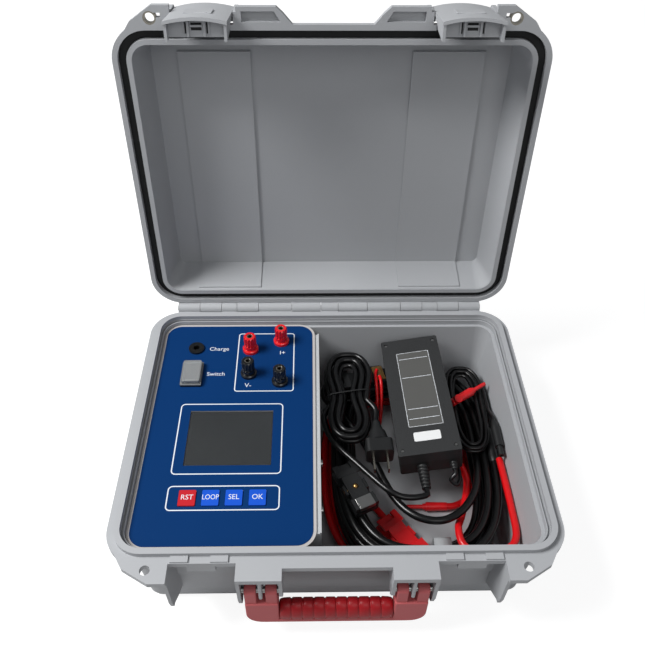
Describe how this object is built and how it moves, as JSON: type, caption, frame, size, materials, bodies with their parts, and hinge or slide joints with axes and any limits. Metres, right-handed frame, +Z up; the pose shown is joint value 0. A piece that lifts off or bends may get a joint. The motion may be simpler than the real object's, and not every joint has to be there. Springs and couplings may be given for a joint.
{
  "type": "transformer dc resistance tester",
  "caption": "Portable winding resistance tester in a hinged case with display panel, terminals and keys, charger and test leads in its tray.",
  "frame": {"origin": "centre of the case's underside, lid open", "axes": "+X to the tray side (right from the front), -Y towards the handle, +Z up"},
  "size_m": [0.36, 0.3658, 0.4026],
  "materials": {
    "case_grey": "lightly textured moulded",
    "seal_black": "smooth matt",
    "steel_pin": "plain",
    "latch_grey": "lightly textured moulded",
    "handle_dull_red": "matt moulded",
    "handle_red": "soft ribbed",
    "sheet_metal": "fine satin paint",
    "panel_white": "satin",
    "overlay_blue": "satin printed film",
    "screen_glass": "clear, dark behind",
    "screen_body": "dark",
    "board_green": "solder mask",
    "key_red": "satin",
    "key_blue": "satin",
    "cell_wrap": "shrink film",
    "socket_black": "satin",
    "cover_clear": "clear moulded",
    "post_red": "gloss moulded",
    "post_black": "gloss moulded",
    "plated_metal": "bright plated",
    "charger_grey": "fine texture",
    "charger_dark": "fine texture",
    "cord_black": "soft sheath",
    "plug_black": "moulded",
    "cord_red": "soft sheath",
    "plug_red": "moulded",
    "clip_black": "moulded"
  },
  "bodies": {
    "base": {"base_shell": "case_grey", "hinge_pin": "steel_pin", "handle_pins": "steel_pin", "instrument_chassis": "sheet_metal", "panel_plate": "panel_white", "panel_overlay": "overlay_blue", "lcd_window": "screen_glass", "lcd_module": "screen_body", "key_board": "board_green", "main_board": "board_green", "battery_pack": "cell_wrap", "dc_socket": "socket_black", "switch_housing": "socket_black", "switch_cover": "cover_clear", "post_collars_red": "post_red", "post_collars_black": "post_black", "post_studs": "plated_metal", "post_nuts": "plated_metal", "screws": "plated_metal", "charger_cover": "charger_grey", "charger_base": "charger_dark", "charger_relief": "plug_black", "charger_lead_start": "cord_black", "charger_lead_coil": "cord_black", "charger_lead_end": "cord_black", "charger_plug": "plug_black", "mains_cord_start": "cord_black", "mains_cord_hank": "cord_black", "mains_cord_end": "cord_black", "mains_plug": "plug_black", "mains_blades": "plated_metal", "black_lead_coil": "cord_black", "black_lead_tail": "cord_black", "black_banana": "plug_black", "red_lead_coil": "cord_red", "red_lead_tail": "cord_red", "red_lead_start": "cord_red", "red_bananas": "plug_red", "clip_lowers": "clip_black", "clip_pins": "plated_metal"},
    "lid": {"lid_shell": "case_grey", "lid_seal": "seal_black", "padlock_bushings": "plated_metal", "latch_pins": "steel_pin"},
    "latch_l": {"latch_left": "latch_grey"},
    "latch_r": {"latch_right": "latch_grey"},
    "handle": {"handle_core": "handle_dull_red", "handle_grip": "handle_red"},
    "key_a": {"key_reset": "key_red"},
    "key_b": {"key_loop": "key_blue"},
    "key_c": {"key_select": "key_blue"},
    "key_d": {"key_ok": "key_blue"},
    "rocker": {"switch_rocker": "socket_black"},
    "cap_a": {"cap_red_rear": "post_red"},
    "cap_b": {"cap_red_front": "post_red"},
    "cap_c": {"cap_black_rear": "post_black"},
    "cap_d": {"cap_black_front": "post_black"},
    "jaw_rear": {"clip_rear_upper": "clip_black"},
    "jaw_front": {"clip_front_upper": "clip_black"},
    "jaw_red": {"clip_red_upper": "plug_red"}
  },
  "joints": [
    {"name": "lid_hinge", "type": "hinge", "parent": "base", "child": "lid", "pos_m": [0, 0.145, 0.1], "axis": [1, 0, 0], "range_deg": [0, 95]},
    {"name": "latch_left_pivot", "type": "hinge", "parent": "lid", "child": "latch_l", "pos_m": [-0.104, 0.18985, 0.38317], "axis": [-1, 0, 0], "range_deg": [-6.4, 100]},
    {"name": "latch_right_pivot", "type": "hinge", "parent": "lid", "child": "latch_r", "pos_m": [0.104, 0.18985, 0.38317], "axis": [-1, 0, 0], "range_deg": [-6.4, 100]},
    {"name": "handle_pivot", "type": "hinge", "parent": "base", "child": "handle", "pos_m": [0, -0.147, 0.074], "axis": [-1, 0, 0], "range_deg": [0, 105]},
    {"name": "key_reset_press", "type": "slide", "parent": "base", "child": "key_a", "axis": [0, 0, -1], "range_m": [0, 0.0008], "stiffness_N_per_m": 500, "springref_m": -0.0006},
    {"name": "key_loop_press", "type": "slide", "parent": "base", "child": "key_b", "axis": [0, 0, -1], "range_m": [0, 0.0008], "stiffness_N_per_m": 500, "springref_m": -0.0006},
    {"name": "key_select_press", "type": "slide", "parent": "base", "child": "key_c", "axis": [0, 0, -1], "range_m": [0, 0.0008], "stiffness_N_per_m": 500, "springref_m": -0.0006},
    {"name": "key_ok_press", "type": "slide", "parent": "base", "child": "key_d", "axis": [0, 0, -1], "range_m": [0, 0.0008], "stiffness_N_per_m": 500, "springref_m": -0.0006},
    {"name": "power_rocker", "type": "hinge", "parent": "base", "child": "rocker", "pos_m": [-0.1329, 0.0555, 0.0923], "axis": [-1, 0, 0], "range_deg": [0, 20]},
    {"name": "cap_red_rear_turn", "type": "hinge", "parent": "base", "child": "cap_a", "pos_m": [-0.079, 0.089, 0.105], "axis": [0, 0, 1], "range_deg": [0, 720]},
    {"name": "cap_red_front_turn", "type": "hinge", "parent": "base", "child": "cap_b", "pos_m": [-0.049, 0.1, 0.105], "axis": [0, 0, 1], "range_deg": [0, 720]},
    {"name": "cap_black_rear_turn", "type": "hinge", "parent": "base", "child": "cap_c", "pos_m": [-0.079, 0.057, 0.105], "axis": [0, 0, 1], "range_deg": [0, 720]},
    {"name": "cap_black_front_turn", "type": "hinge", "parent": "base", "child": "cap_d", "pos_m": [-0.049, 0.047, 0.105], "axis": [0, 0, 1], "range_deg": [0, 720]},
    {"name": "clip_rear_jaw", "type": "hinge", "parent": "base", "child": "jaw_rear", "pos_m": [0.03095, 0.0812, 0.05845], "axis": [0.2079, -0.9781, 0], "range_deg": [0, 12], "stiffness_Nm_per_rad": 0.6, "springref_deg": -20.05},
    {"name": "clip_front_jaw", "type": "hinge", "parent": "base", "child": "jaw_front", "pos_m": [0.01956, -0.04666, 0.05845], "axis": [-0.9063, -0.4226, 0], "range_deg": [0, 12], "stiffness_Nm_per_rad": 0.6, "springref_deg": -20.05},
    {"name": "clip_red_jaw", "type": "hinge", "parent": "base", "child": "jaw_red", "pos_m": [0.06424, -0.06907, 0.0115], "axis": [-0.7986, -0.6018, 0], "range_deg": [0, 12], "stiffness_Nm_per_rad": 0.6, "springref_deg": -20.05}
  ]
}
